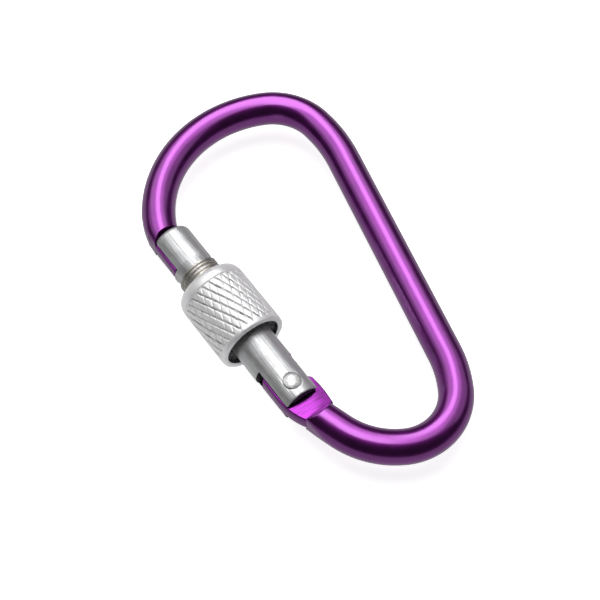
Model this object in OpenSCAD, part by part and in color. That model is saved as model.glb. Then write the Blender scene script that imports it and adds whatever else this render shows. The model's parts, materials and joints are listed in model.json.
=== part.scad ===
// Locking carabiner: a bent rod loop with a sprung gate and a screw sleeve.
// Drawn flat, with the gate's axis along X, its nose towards -X and its hinge towards +X,
// the spine towards +Y and the loop's plane level. The origin is under the middle of the box.

/* [Frame] */
// Diameter of the round rod that the frame is bent from
rod_d = 6.2; // [6:0.1:6.4]
// Radius of the long bend that leads away from the gate's nose
nose_bend_r = 22.9; // [22.5:0.1:23.3]
// Radius of the tight bend at the loop's wide end
wide_bend_r = 10.9; // [10.6:0.1:11.2]
// Radius of the tight bend at the loop's narrow end
narrow_bend_r = 10.3; // [10:0.1:10.6]
// Thickness of the two tongues pressed on the rod's ends
tongue_t = 3; // [2.8:0.1:3.2]

/* [Gate] */
// Diameter of the gate's barrel
barrel_d = 7.6; // [7.4:0.1:7.6]
// Distance from the hinge axis to the gate's nose
gate_reach = 37.7; // [37.5:0.1:37.9]
// Width of the slots that the frame's tongues enter
slot_w = 4.2; // [4.2:0.05:4.4]
// Crest diameter of the gate's thread
thread_d = 8; // [7.9:0.05:8.1]
// Travel of the sleeve for one turn
thread_pitch = 1.4; // [1.2:0.2:1.6]
// Diameter of the bore for the spring and its plunger
spring_bore_d = 3.6; // [3.4:0.1:3.8]

/* [Sleeve] */
// Outer diameter of the sleeve
sleeve_d = 12.8; // [12.4:0.1:13]
// Length of the sleeve
sleeve_len = 14.3; // [14:0.1:14.6]
// Length of the plain ring at the sleeve's nose
ring_len = 2.4; // [2:0.1:2.8]

/* [Rivet, plunger and spring] */
// Diameter of the hinge rivet's shaft
rivet_d = 2; // [1.8:0.1:2.2]
// Diameter of the rivet's heads
rivet_head_d = 3.2; // [3:0.1:3.4]
// Diameter of the spring's wire
wire_d = 0.4; // [0.3:0.05:0.45]
// Number of turns in the spring
spring_turns = 9; // [8:1:11]

/* [Hidden] */
$fn = 96;
far = 60;

purple = [0.50, 0.16, 0.55];
bright = [0.86, 0.87, 0.88];
silver = [0.90, 0.89, 0.91];
steel = [0.72, 0.73, 0.75];

rod_r = rod_d / 2;
barrel_r = barrel_d / 2;
sleeve_r = sleeve_d / 2;
half_slot = slot_w / 2;
half_tongue = tongue_t / 2;

// The frame's centre line starts at the nose face, and turns clockwise all the way
nose_start = [-gate_reach - 1.1, -0.9];
nose_heading = 160.5;
// Each bend is a radius and a turn; the straight spine lies after the third
BENDS = [
    [nose_bend_r, 95.4],
    [wide_bend_r, 60.4],
    [29.1, 18.2],
    [21.3, 18.8],
    [narrow_bend_r, 89.7],
    [15.3, 40.2]
];
SPINE_AFTER = 3;
// Shortest straight between two bends, and how far a straight laps over the bends
link_len = 0.3;
lap = 0.15;
lap_swell = 0.03;
// The rod ends in the hinge tab, just past the step down to the tab's flat faces
tab_step_x = 6.2;
crown_x = 7.45;
rod_end = [tab_step_x - 0.4, 0.5];

// Hinge tab, measured from the hinge axis
tab_reach = 4.2;
tab_outer_y = -3.45;
tab_inner_y = 4.15;
// Plunger travel for each radian that the gate turns
cam_lift = 1.2;
cam_end = 30;
gate_open = 32;

// Nose: the rod's end face, and the tongue on it
nose_face_x = -gate_reach - 0.8;
nose_tongue_end_x = -gate_reach + 7.1;
nose_tongue_inner_y = 2.1;
nose_tongue_outer_y = -3.45;

// Gate
gate_end_x = 2.95;
hinge_slot_x = -5.3;
nose_slot_x = nose_tongue_end_x + 0.3;
nose_slot_y = nose_tongue_inner_y + 0.05;
thread_start_x = -29.4;
thread_end_x = -13.2;
thread_root_d = thread_d - 0.8;
spring_end_x = -24.5;
head_seat_z = 3.4;

// Sleeve, drawn unscrewed, clear of the frame's nose
sleeve_back_x = -11.3;
sleeve_nose_x = sleeve_back_x - sleeve_len;
ring_back_x = sleeve_nose_x + ring_len;
sleeve_bore_d = thread_d + 0.5;
nut_bore_d = thread_d + 0.24;
nut_start_x = sleeve_back_x - 5.2;
mouth_x = sleeve_back_x - 1.3;
mouth_d = 10.6;

// Plunger and spring
plunger_front_x = -tab_reach - 0.02;
plunger_len = 4;
plunger_d = spring_bore_d - 0.2;
spring_front_x = plunger_front_x - plunger_len;

// Centre-line arithmetic: each bend is followed by a straight
function heading_after(n) = n == 0 ? nose_heading : heading_after(n - 1) - BENDS[n - 1][1];
function ahead(h) = [cos(h), sin(h)];
function bend_move(n) =
    let (h = heading_after(n), r = BENDS[n][0], k = heading_after(n + 1))
    r * [sin(h) - sin(k), cos(k) - cos(h)];
function sum_bends(n) = n == 0 ? [0, 0] : sum_bends(n - 1) + bend_move(n - 1);
function sum_links(n) = n == 0 ? [0, 0] : sum_links(n - 1) + link_len * ahead(heading_after(n));
// The spine and the last straight take the lengths that bring the rod's end to the tab
LAST = len(BENDS);
spine_heading = heading_after(SPINE_AFTER);
last_heading = heading_after(LAST);
gap = rod_end - nose_start - sum_bends(LAST) - sum_links(LAST);
cross_hh = sin(last_heading - spine_heading);
spine_extra = (gap.x * sin(last_heading) - gap.y * cos(last_heading)) / cross_hh;
last_extra = (gap.y * cos(spine_heading) - gap.x * sin(spine_heading)) / cross_hh;
function straight_len(n) = link_len + (n == SPINE_AFTER ? spine_extra : n == LAST ? last_extra : 0);
function bend_start(n) =
    nose_start + sum_bends(n) + sum_links(n) + (n >= SPINE_AFTER ? spine_extra * ahead(spine_heading) : [0, 0]);
function bend_centre(n) =
    let (h = heading_after(n)) bend_start(n) + BENDS[n][0] * [sin(h), -cos(h)];
function bend_end(n) = bend_start(n) + bend_move(n);

// Box of the whole object, which gives the origin
box_low_x = bend_centre(0).x - nose_bend_r - rod_r;
box_high_x = bend_centre(4).x + narrow_bend_r + rod_r;
box_high_y = bend_centre(2).y + BENDS[2][0] + rod_r;
box_low_y = -sleeve_r;
origin_shift = [-(box_low_x + box_high_x) / 2, -(box_low_y + box_high_y) / 2, sleeve_r];

module placed() {
    translate(origin_shift) children();
}

// Turns a shape drawn along Z to lie along X
module along_x(x) {
    translate([x, 0, 0]) rotate([0, 90, 0]) children();
}

// Straight length of rod, a hair thicker than the bends that it laps over
module straight_rod(start, heading, length) {
    translate([start.x, start.y, 0])
        rotate([0, 90, heading])
            translate([0, 0, -lap])
                cylinder(h = length + 2 * lap, d = rod_d + lap_swell);
}

module bent_rod(n) {
    c = bend_centre(n);
    turn = BENDS[n][1];
    translate([c.x, c.y, 0])
        rotate([0, 0, heading_after(n) + 90 - turn])
            rotate_extrude(angle = turn)
                translate([BENDS[n][0], 0]) circle(d = rod_d);
}

// Everything outside the rounded outer edge of the nose, which is flush with the barrel
blend_r = 12;
module nose_trim() {
    c = bend_centre(0);
    cy = nose_tongue_outer_y + blend_r;
    reach = nose_bend_r + rod_r - blend_r;
    cx = c.x - sqrt(reach * reach - (c.y - cy) * (c.y - cy));
    first = atan2(cy - c.y, cx - c.x) + 360;
    rim = [for (i = [0:8]) first + (270 - first) * i / 8];
    linear_extrude(height = 2 * rod_d, center = true)
        polygon(concat(
            [for (a = rim) [cx + blend_r * cos(a), cy + blend_r * sin(a)]],
            [[nose_face_x + 5, nose_tongue_outer_y], [nose_face_x + 5, -9], [-50, -9]]
        ));
}

// Everything in front of the nose face, whose outer side follows the barrel's rounded nose
module nose_cut() {
    linear_extrude(height = 2 * rod_d, center = true)
        polygon([
            [nose_face_x, 10],
            [nose_face_x, -1.2],
            [nose_face_x + 0.5, -2.3],
            [nose_face_x + 1.1, -3.1],
            [nose_face_x + 1.1, -10],
            [nose_face_x + 6, -10],
            [nose_face_x + 6, 10]
        ]);
}

// Wedge that leaves the tab's flat face and the step up to the rod
module tab_relief() {
    rotate([90, 0, 0])
        linear_extrude(height = 30, center = true)
            polygon([
                [tab_step_x - 6, half_tongue],
                [tab_step_x, half_tongue],
                [crown_x, rod_r],
                [crown_x + 0.3, rod_r + 1],
                [tab_step_x - 6, rod_r + 1]
            ]);
}

// Everything outside the slanted flat that runs the rod's outer side into the tab
module tab_trim() {
    linear_extrude(height = 2 * rod_d, center = true)
        polygon([[4, -2.32], [12, -0.96], [12, -9], [4, -9]]);
}

// Point on the tab's cam, which lifts a flat plunger evenly as the gate turns by a
function cam_point(a) =
    let (h = tab_reach + cam_lift * a * PI / 180)
    [-h * cos(a) + cam_lift * sin(a), h * sin(a) + cam_lift * cos(a)];
// Points on a circle's arc from angle a to angle b
function arc_points(c, r, a, b, n) = [for (i = [0:n]) c + r * ahead(a + (b - a) * i / n)];

outer_arc_r = 12;
inner_arc_r = 20;
module tab_outline() {
    outer_c = [0.5, tab_outer_y + outer_arc_r];
    inner_c = [3.5, tab_inner_y - inner_arc_r];
    polygon(concat(
        [[-tab_reach, tab_outer_y + 0.4], [-tab_reach + 0.4, tab_outer_y]],
        arc_points(outer_c, outer_arc_r, 270, 300.5, 6),
        arc_points(inner_c, inner_arc_r, 81.5, 99, 4),
        [[-0.1, 3.4]],
        [for (a = [cam_end:-5:0]) cam_point(a)]
    ));
}

module bent_frame() color(purple) placed() {
    difference() {
        union() {
            difference() {
                union() {
                    straight_rod(nose_start - 3 * ahead(nose_heading), nose_heading, 3);
                    for (n = [0:LAST - 1]) {
                        bent_rod(n);
                        straight_rod(bend_end(n), heading_after(n + 1), straight_len(n + 1));
                    }
                }
                nose_trim();
                nose_cut();
                tab_trim();
                tab_relief();
                mirror([0, 0, 1]) tab_relief();
            }
            linear_extrude(height = tongue_t, center = true) tab_outline();
            translate([nose_face_x - 0.1, nose_tongue_outer_y, -half_tongue])
                cube([
                    nose_tongue_end_x - nose_face_x + 0.1,
                    nose_tongue_inner_y - nose_tongue_outer_y,
                    tongue_t
                ]);
        }
        cylinder(h = far, d = rivet_d + 0.1, center = true);
    }
}

// Half profile of the gate, as radius and distance along the barrel
module gate_profile() {
    edge = 0.4;
    nose_r = 1;
    ridges = floor((thread_end_x - thread_start_x) / thread_pitch);
    thread_stop_x = thread_start_x + ridges * thread_pitch;
    polygon(concat(
        [[0, -gate_reach]],
        [for (a = [0:22.5:90]) [
            barrel_r - nose_r + nose_r * sin(a),
            nose_r - gate_reach - nose_r * cos(a)
        ]],
        [[barrel_r, thread_start_x - edge]],
        [for (i = [0:ridges - 1]) each ridge(thread_start_x + i * thread_pitch)],
        [[thread_root_d / 2, thread_stop_x], [barrel_r, thread_stop_x + edge]],
        [[barrel_r, gate_end_x - edge / 2], [barrel_r - edge / 2, gate_end_x], [0, gate_end_x]]
    ));
}
// Root, rise, crest and fall of one ridge that starts at x
function ridge(x) = [
    [thread_root_d / 2, x],
    [thread_d / 2, x + 0.3 * thread_pitch],
    [thread_d / 2, x + 0.6 * thread_pitch],
    [thread_root_d / 2, x + 0.9 * thread_pitch]
];

module gate_barrel() color(bright) placed() {
    difference() {
        along_x(0) rotate_extrude() gate_profile();
        translate([-far, -far, -half_slot])
            cube([far + nose_slot_x, far + nose_slot_y, slot_w]);
        translate([hinge_slot_x, -far, -half_slot])
            cube([far, 2 * far, slot_w]);
        along_x(spring_end_x)
            cylinder(h = hinge_slot_x - spring_end_x + 0.1, d = spring_bore_d);
        cylinder(h = far, d = rivet_d, center = true);
        for (side = [0, 1])
            mirror([0, 0, side])
                translate([0, 0, head_seat_z])
                    cylinder(h = far, d = rivet_head_d);
    }
}

module sleeve_nose_ring() color(silver) placed() {
    nose_round = 0.8;
    along_x(0) rotate_extrude() polygon(concat(
        [[sleeve_bore_d / 2, sleeve_nose_x + 0.3], [sleeve_bore_d / 2 + 0.3, sleeve_nose_x]],
        [for (a = [0:15:90]) [
            sleeve_r - nose_round + nose_round * sin(a),
            ring_back_x - 0.2 - (ring_len - 0.2) * cos(a)
        ]],
        [[sleeve_r, ring_back_x], [sleeve_bore_d / 2, ring_back_x]]
    ));
}

module sleeve_grip() color(silver) placed() {
    edge = 0.5;
    along_x(0) rotate_extrude() polygon([
        [sleeve_bore_d / 2, ring_back_x],
        [sleeve_r, ring_back_x],
        [sleeve_r, sleeve_back_x - edge],
        [sleeve_r - edge, sleeve_back_x],
        [mouth_d / 2 + 0.2, sleeve_back_x],
        [mouth_d / 2, sleeve_back_x - 0.2],
        [mouth_d / 2, mouth_x],
        [nut_bore_d / 2, mouth_x - 0.3],
        [nut_bore_d / 2, nut_start_x],
        [sleeve_bore_d / 2, nut_start_x - 0.2]
    ]);
}

module hinge_rivet() color(bright) placed() {
    rim = 0.35;
    dome = 0.4;
    steps = [0:15:90];
    head_r = rivet_head_d / 2;
    rotate_extrude() polygon(concat(
        [[0, 0], [rivet_d / 2, 0], [rivet_d / 2, head_seat_z], [head_r, head_seat_z]],
        [for (a = steps) [head_r * cos(a), head_seat_z + rim + dome * sin(a)]]
    ));
    mirror([0, 0, 1]) rotate_extrude() polygon(concat(
        [[0, 0], [rivet_d / 2, 0], [rivet_d / 2, head_seat_z], [head_r, head_seat_z]],
        [for (a = steps) [head_r * cos(a), head_seat_z + rim + dome * sin(a)]]
    ));
}

module spring_plunger() color(steel) placed() {
    stem_d = 1.8;
    stem_len = 1.6;
    along_x(spring_front_x) cylinder(h = plunger_len, d = plunger_d);
    along_x(spring_front_x - stem_len) cylinder(h = stem_len, d = stem_d);
}

// Coil swept along a helix, as rings of points round the wire
coil_r = (spring_bore_d - 0.3 - wire_d) / 2;
coil_steps = 20;
wire_sides = 8;
module return_spring() color(steel) placed() {
    back = spring_end_x + wire_d / 2 + 0.02;
    front = spring_front_x - wire_d / 2 - 0.02;
    count = spring_turns * coil_steps;
    points = [
        for (i = [0:count], j = [0:wire_sides - 1])
            let (
                turn = 360 * i / coil_steps,
                x = back + (front - back) * i / count,
                side = 360 * j / wire_sides,
                r = coil_r + wire_d / 2 * cos(side)
            )
            [x + wire_d / 2 * sin(side), r * cos(turn), r * sin(turn)]
    ];
    walls = [
        for (i = [0:count - 1], j = [0:wire_sides - 1])
            let (k = (j + 1) % wire_sides)
            [i * wire_sides + j, i * wire_sides + k, (i + 1) * wire_sides + k, (i + 1) * wire_sides + j]
    ];
    first_cap = [for (j = [wire_sides - 1:-1:0]) j];
    last_cap = [for (j = [0:wire_sides - 1]) count * wire_sides + j];
    polyhedron(points = points, faces = concat([first_cap], walls, [last_cap]), convexity = 10);
}

bent_frame();
gate_barrel();
sleeve_nose_ring();
sleeve_grip();
hinge_rivet();
spring_plunger();
return_spring();
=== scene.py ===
import json
import math

import bmesh
import bpy
from mathutils import Matrix, Vector
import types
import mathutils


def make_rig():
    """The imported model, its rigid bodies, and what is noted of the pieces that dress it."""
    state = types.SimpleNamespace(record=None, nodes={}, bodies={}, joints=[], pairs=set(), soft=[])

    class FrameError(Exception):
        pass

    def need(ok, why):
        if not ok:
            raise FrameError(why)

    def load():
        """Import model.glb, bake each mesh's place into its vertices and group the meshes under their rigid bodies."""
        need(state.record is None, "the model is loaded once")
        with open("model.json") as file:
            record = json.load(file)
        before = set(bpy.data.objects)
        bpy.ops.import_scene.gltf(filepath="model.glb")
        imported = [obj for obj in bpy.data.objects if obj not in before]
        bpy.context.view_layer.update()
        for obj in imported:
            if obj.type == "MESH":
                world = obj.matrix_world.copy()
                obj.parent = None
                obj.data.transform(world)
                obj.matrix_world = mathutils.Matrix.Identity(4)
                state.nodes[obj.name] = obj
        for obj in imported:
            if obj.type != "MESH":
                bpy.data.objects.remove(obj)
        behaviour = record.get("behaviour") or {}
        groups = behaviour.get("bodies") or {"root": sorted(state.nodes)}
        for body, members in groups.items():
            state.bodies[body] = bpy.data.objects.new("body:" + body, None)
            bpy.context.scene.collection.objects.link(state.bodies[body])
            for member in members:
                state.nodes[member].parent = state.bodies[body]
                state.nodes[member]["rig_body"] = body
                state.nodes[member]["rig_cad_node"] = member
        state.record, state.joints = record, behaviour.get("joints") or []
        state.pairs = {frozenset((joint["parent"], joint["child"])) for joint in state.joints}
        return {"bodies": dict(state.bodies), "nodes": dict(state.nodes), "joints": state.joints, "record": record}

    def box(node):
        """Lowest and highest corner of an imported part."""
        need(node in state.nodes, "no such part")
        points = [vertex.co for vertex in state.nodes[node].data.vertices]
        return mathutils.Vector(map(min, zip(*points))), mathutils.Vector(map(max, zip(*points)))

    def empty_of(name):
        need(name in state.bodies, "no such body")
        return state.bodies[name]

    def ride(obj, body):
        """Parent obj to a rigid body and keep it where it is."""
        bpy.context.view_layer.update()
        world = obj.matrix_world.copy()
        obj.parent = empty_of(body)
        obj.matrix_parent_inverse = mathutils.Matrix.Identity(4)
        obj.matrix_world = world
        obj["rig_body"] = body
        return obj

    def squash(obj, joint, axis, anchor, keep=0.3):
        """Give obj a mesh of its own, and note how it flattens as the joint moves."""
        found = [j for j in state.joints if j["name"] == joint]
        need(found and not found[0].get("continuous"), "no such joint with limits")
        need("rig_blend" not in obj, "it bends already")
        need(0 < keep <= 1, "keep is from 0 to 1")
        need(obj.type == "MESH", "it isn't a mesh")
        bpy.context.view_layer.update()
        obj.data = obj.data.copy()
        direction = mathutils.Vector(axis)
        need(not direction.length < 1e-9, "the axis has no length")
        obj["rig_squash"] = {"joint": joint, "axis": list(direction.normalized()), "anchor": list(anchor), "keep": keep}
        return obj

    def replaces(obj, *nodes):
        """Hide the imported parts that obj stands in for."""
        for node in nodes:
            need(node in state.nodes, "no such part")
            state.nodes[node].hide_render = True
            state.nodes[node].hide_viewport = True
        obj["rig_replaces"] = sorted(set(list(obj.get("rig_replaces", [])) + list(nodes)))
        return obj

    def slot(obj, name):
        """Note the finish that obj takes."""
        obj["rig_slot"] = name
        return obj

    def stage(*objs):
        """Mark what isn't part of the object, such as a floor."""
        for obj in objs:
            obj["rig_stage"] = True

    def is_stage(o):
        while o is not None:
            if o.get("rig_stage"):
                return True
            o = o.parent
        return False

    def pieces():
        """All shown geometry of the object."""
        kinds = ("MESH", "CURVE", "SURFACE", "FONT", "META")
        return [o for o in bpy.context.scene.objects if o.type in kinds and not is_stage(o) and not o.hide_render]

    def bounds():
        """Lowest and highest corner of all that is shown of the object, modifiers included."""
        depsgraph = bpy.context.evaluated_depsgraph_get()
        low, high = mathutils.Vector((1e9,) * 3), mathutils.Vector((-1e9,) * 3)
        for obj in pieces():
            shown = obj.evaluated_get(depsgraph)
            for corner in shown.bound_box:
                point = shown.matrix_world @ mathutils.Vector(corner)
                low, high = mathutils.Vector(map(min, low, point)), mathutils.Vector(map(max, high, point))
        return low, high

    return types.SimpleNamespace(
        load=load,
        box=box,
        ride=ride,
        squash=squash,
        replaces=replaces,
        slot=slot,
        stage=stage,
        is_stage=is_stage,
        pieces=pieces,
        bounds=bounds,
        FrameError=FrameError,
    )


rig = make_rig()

bl_info = {
    "name": "Locking carabiner",
    "version": (1, 0, 0),
    "blender": (4, 5, 0),
    "location": "View3D > Sidebar > Carabiner",
    "description": "Builds a screw-lock carabiner: bent rod, sprung gate, knurled sleeve and studio",
    "category": "Object",
}

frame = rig.load()
CAD_BOX = [list(corner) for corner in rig.bounds()]

# Sizes below are in millimetres, measured from the hinge axis at the rod's mid-plane.
MM = 0.001
HINGE = Vector(next(j["pos_m"] for j in frame["joints"] if j["name"] == "gate_swing"))
TO_FRAME = Matrix.Translation(HINGE) @ Matrix.Scale(MM, 4)
FULL_TURN = 2 * math.pi


def span(node, axis):
    """Lowest and highest place of a CAD node along an axis, in millimetres from the hinge."""
    low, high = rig.box(node)
    return (low[axis] - HINGE[axis]) / MM, (high[axis] - HINGE[axis]) / MM


ROD_R = 3.1
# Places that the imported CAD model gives
SLEEVE_R = span("sleeve_grip", 1)[1]
RING_FRONT_X, RING_BACK_X = span("sleeve_nose_ring", 0)
GRIP_BACK_X = span("sleeve_grip", 0)[1]
GATE_FRONT_X, GATE_BACK_X = span("gate_barrel", 0)
THREAD_R = span("gate_barrel", 1)[1]
PLUNGER_BACK_X, PLUNGER_FRONT_X = span("spring_plunger", 0)
SPRING_FAR_X, SPRING_NEAR_X = span("return_spring", 0)
RIVET_TOP_Z = span("hinge_rivet", 2)[1]

# Index of a piece's second material, which paints shade on faces that a gap or bore keeps dark
PAINTED_SHADE_INDEX = 1


# ---------------------------------------------------------------- settings


class RodSettings(bpy.types.PropertyGroup):
    sides: bpy.props.IntProperty(
        name="Sides", description="Flats round the rod's section", default=72, min=16, max=128)
    edge: bpy.props.FloatProperty(
        name="Edge", description="Rounding of the pressed tab's edges, in mm", default=0.22, min=0.05)
    colour: bpy.props.FloatVectorProperty(
        name="Anodising", description="Colour of the dyed oxide", subtype="COLOR", size=3,
        default=(0.275, 0.024, 0.325), min=0.0, max=1.0)


class GateSettings(bpy.types.PropertyGroup):
    barrel_radius: bpy.props.FloatProperty(
        name="Barrel radius", description="Radius of the turned barrel, in mm", default=3.8)
    thread_pitch: bpy.props.FloatProperty(
        name="Thread pitch", description="Travel for one turn, in mm", default=1.4, min=0.5)
    colour: bpy.props.FloatVectorProperty(
        name="Turned metal", description="Colour of the bare barrel", subtype="COLOR", size=3,
        default=(0.72, 0.725, 0.735), min=0.0, max=1.0)


class SleeveSettings(bpy.types.PropertyGroup):
    lines: bpy.props.IntProperty(
        name="Knurl lines", description="Grooves of one hand round the sleeve", default=28, min=8)
    slant: bpy.props.FloatProperty(
        name="Knurl slant", description="Angle of the grooves to the sleeve's axis",
        default=math.radians(25), subtype="ANGLE")
    deep: bpy.props.FloatProperty(
        name="Main groove", description="Depth of the main grooves, in mm", default=0.22)
    shallow: bpy.props.FloatProperty(
        name="Cross groove", description="Depth of the crossing grooves, in mm", default=0.11)
    colour: bpy.props.FloatVectorProperty(
        name="Sleeve metal", description="Colour of the knurled sleeve", subtype="COLOR", size=3,
        default=(0.96, 0.95, 0.97), min=0.0, max=1.0)


class StudioSettings(bpy.types.PropertyGroup):
    azimuth: bpy.props.FloatProperty(
        name="Azimuth", description="Camera's turn round the object", default=math.radians(52.23),
        subtype="ANGLE")
    elevation: bpy.props.FloatProperty(
        name="Elevation", description="Camera's height above the horizon", default=math.radians(60.24),
        subtype="ANGLE")
    roll: bpy.props.FloatProperty(
        name="Roll", description="Camera's roll", default=math.radians(1.875), subtype="ANGLE")
    distance: bpy.props.FloatProperty(
        name="Distance", description="From the camera to the point it looks at", default=0.2626,
        unit="LENGTH")
    lens: bpy.props.FloatProperty(
        name="Lens", description="Focal length in mm", default=88.8)


# ---------------------------------------------------------------- shader writing


class Value:
    """A node socket that can be used in sums."""

    def __init__(self, graph, socket):
        self.graph = graph
        self.socket = socket

    def _math(self, operation, a, b):
        return self.graph.node("ShaderNodeMath", {"operation": operation}, {0: a, 1: b})

    def __add__(self, other):
        return self._math("ADD", self, other)

    __radd__ = __add__

    def __sub__(self, other):
        return self._math("SUBTRACT", self, other)

    def __rsub__(self, other):
        return self._math("SUBTRACT", other, self)

    def __mul__(self, other):
        return self._math("MULTIPLY", self, other)

    __rmul__ = __mul__


class Graph:
    """The nodes of a material or of the surround, with its one shader at the end."""

    def __init__(self, owner, shader, **constants):
        self.material = owner
        owner.use_nodes = True
        self.tree = owner.node_tree
        self.shader = self.tree.nodes[shader]
        self.set(**constants)

    def node(self, kind, settings=None, inputs=None, out=0):
        made = self.tree.nodes.new(kind)
        for key, value in (settings or {}).items():
            setattr(made, key, value)
        for key, value in (inputs or {}).items():
            self._feed(made.inputs[key], value)
        return Value(self, made.outputs[out])

    def _feed(self, socket, value):
        """Links another node's output to a socket, or sets the socket to a constant."""
        if isinstance(value, Value):
            self.tree.links.new(value.socket, socket)
        elif isinstance(value, (tuple, list)) and len(value) == 3 and socket.type == "RGBA":
            socket.default_value = (*value, 1.0)
        else:
            socket.default_value = value

    def set(self, **inputs):
        """Feeds the shader's inputs, by their names in small letters."""
        for key, value in inputs.items():
            self._feed(self.shader.inputs[key.replace("_", " ").title().replace("Ior", "IOR")], value)

    def stretched(self, scale):
        """The object's own coordinates, in millimetres, stretched per axis."""
        place = self.node("ShaderNodeTexCoord", out="Object")
        return self.node("ShaderNodeMapping", {}, {"Vector": place, "Scale": [s / MM for s in scale]})

    def noise(self, scale, detail=3.0, roughness=0.55):
        return self.node("ShaderNodeTexNoise", {"noise_dimensions": "3D"}, {
            "Vector": self.stretched(scale), "Scale": 1.0, "Detail": detail, "Roughness": roughness})

    def levels(self, value, low, high, to_low=0.0, to_high=1.0):
        """Spreads the part of a value between two levels over a smooth step."""
        return self.node("ShaderNodeMapRange", {"interpolation_type": "SMOOTHSTEP"}, {
            "Value": value, "From Min": low, "From Max": high, "To Min": to_low, "To Max": to_high})

    def blend(self, factor, first, second):
        """Mixes two colours; 6, 7 and 2 are the places of the Mix node's colour sockets."""
        return self.node("ShaderNodeMix", {"data_type": "RGBA"}, {0: factor, 6: first, 7: second}, out=2)

    def bump(self, height, distance, strength):
        """Raises the surface by a height of up to a distance in millimetres."""
        self.set(normal=self.node("ShaderNodeBump", {}, {
            "Height": height, "Distance": distance * MM, "Strength": strength}))


def new_material(name, **constants):
    return Graph(bpy.data.materials.new(name), "Principled BSDF", **constants)


def shade(colour, factor):
    return tuple(min(1.0, c * factor) for c in colour)


def grey(level):
    return (level, level, level)


def anodised_rod(colour):
    """Purple dyed oxide on drawn rod: satin gloss with faint draw marks and handling dust."""
    g = new_material("anodised_purple", metallic=1.0, coat_roughness=0.15, coat_ior=1.65)
    tone = g.levels(g.noise((0.35, 0.35, 0.35), 2.0), 0.3, 0.7)
    specks = g.levels(g.noise((6.0, 6.0, 6.0), 2.0, 0.7), 0.66, 0.74)
    body = g.blend(tone, shade(colour, 0.92), shade(colour, 1.08))
    g.set(base_color=g.blend(specks * 0.25, body, shade(colour, 1.7)))
    fine = g.noise((9.0, 9.0, 9.0), 3.0, 0.6)
    g.set(roughness=0.27 + tone * 0.05 + fine * 0.05)
    g.set(coat_weight=0.9 - specks * 0.3)
    g.bump(fine, 0.006, 0.5)
    return g.material


def anodised_press(colour):
    """The same oxide on the pressed faces, with marks of the tool across them."""
    g = new_material("anodised_pressed", metallic=1.0, coat_roughness=0.18, coat_ior=1.5)
    marks = g.noise((5.0, 0.3, 1.0), 3.0, 0.6)
    tone = g.levels(marks, 0.35, 0.65)
    g.set(base_color=g.blend(tone, shade(colour, 0.6), shade(colour, 1.02)))
    g.set(roughness=0.11 + marks * 0.08)
    g.set(coat_weight=0.35 - tone * 0.15)
    g.bump(marks, 0.02, 0.7)
    return g.material


def painted_gap_shade(colour):
    """The rod's nose face, painted dark as the shade of the gap to the gate, in random patches."""
    g = new_material("anodised_painted_shade", metallic=0.6)
    shade_patches = g.noise((2.0, 2.0, 2.0), 3.0)
    # Painted shade: a tenth to a fifth of the anodised colour, varied in random patches
    g.set(base_color=g.blend(shade_patches, shade(colour, 0.10), shade(colour, 0.22)))
    g.set(roughness=0.5 + shade_patches * 0.2)
    return g.material


def milled_metal_painted_shade():
    """The gate's milled slot walls and hinge end, painted near black as shade, in random patches."""
    g = new_material("milled_aluminium_painted_shade", metallic=0.8)
    oil = g.levels(g.noise((1.5, 1.5, 1.5), 3.0), 0.3, 0.7)
    # Painted shade: two near-black greys, varied in random patches
    g.set(base_color=g.blend(oil, (0.10, 0.10, 0.105), (0.035, 0.035, 0.04)))
    g.set(roughness=0.45 + oil * 0.15)
    g.bump(g.noise((0.4, 6.0, 6.0), 2.0), 0.01, 0.4)
    return g.material


def turned_metal(colour):
    """Bare aluminium off the lathe: rings round the barrel and a few rubbed streaks along it."""
    g = new_material("turned_aluminium", metallic=0.72)
    rings = g.noise((9.0, 0.12, 0.12), 3.0, 0.65)
    streaks = g.levels(g.noise((0.12, 4.0, 4.0), 3.0, 0.6), 0.35, 0.7)
    tone = g.levels(g.noise((0.5, 0.5, 0.5), 2.0), 0.35, 0.65)
    body = g.blend(tone, shade(colour, 0.94), shade(colour, 1.06))
    g.set(base_color=g.blend(streaks * 0.7, body, shade(colour, 0.6)))
    g.set(roughness=0.27 + rings * 0.10 + streaks * 0.10)
    g.bump(rings * 0.6 + streaks * 0.8, 0.035, 0.7)
    return g.material


def thread_metal():
    """Thread flanks, dulled to a warm grey by oil and use."""
    g = new_material("thread_metal", metallic=0.95)
    grime = g.levels(g.noise((2.5, 2.5, 2.5), 3.0), 0.35, 0.7)
    g.set(base_color=g.blend(grime, (0.62, 0.60, 0.56), (0.40, 0.37, 0.33)))
    g.set(roughness=0.32 + grime * 0.18)
    g.bump(g.noise((8.0, 1.0, 1.0), 3.0), 0.01, 0.5)
    return g.material


def knurled_metal(colour):
    """Bright aluminium whose grooves are painted darker in patches as shade, and are rougher than the crests."""
    g = new_material("knurled_aluminium", metallic=0.42)
    groove = g.node("ShaderNodeAttribute", {"attribute_name": "groove"}, {}, out="Fac")
    mottle = g.levels(g.noise((1.2, 1.2, 1.2), 3.0), 0.35, 0.65)
    floor = g.levels(groove, 0.2, 0.8)
    groove_shade_patches = g.levels(g.noise((0.5, 1.6, 1.6), 3.0, 0.6), 0.5, 0.62)
    bright = g.blend(mottle, shade(colour, 0.97), shade(colour, 1.06))
    # Painted shade: the groove floors darken toward dark grey, in random patches
    g.set(base_color=g.blend(floor * (0.4 + groove_shade_patches * 0.6), bright, (0.16, 0.16, 0.17)))
    g.set(roughness=0.30 + floor * 0.10 + mottle * 0.08)
    g.bump(g.noise((7.0, 7.0, 7.0), 3.0), 0.012, 0.5)
    return g.material


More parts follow.
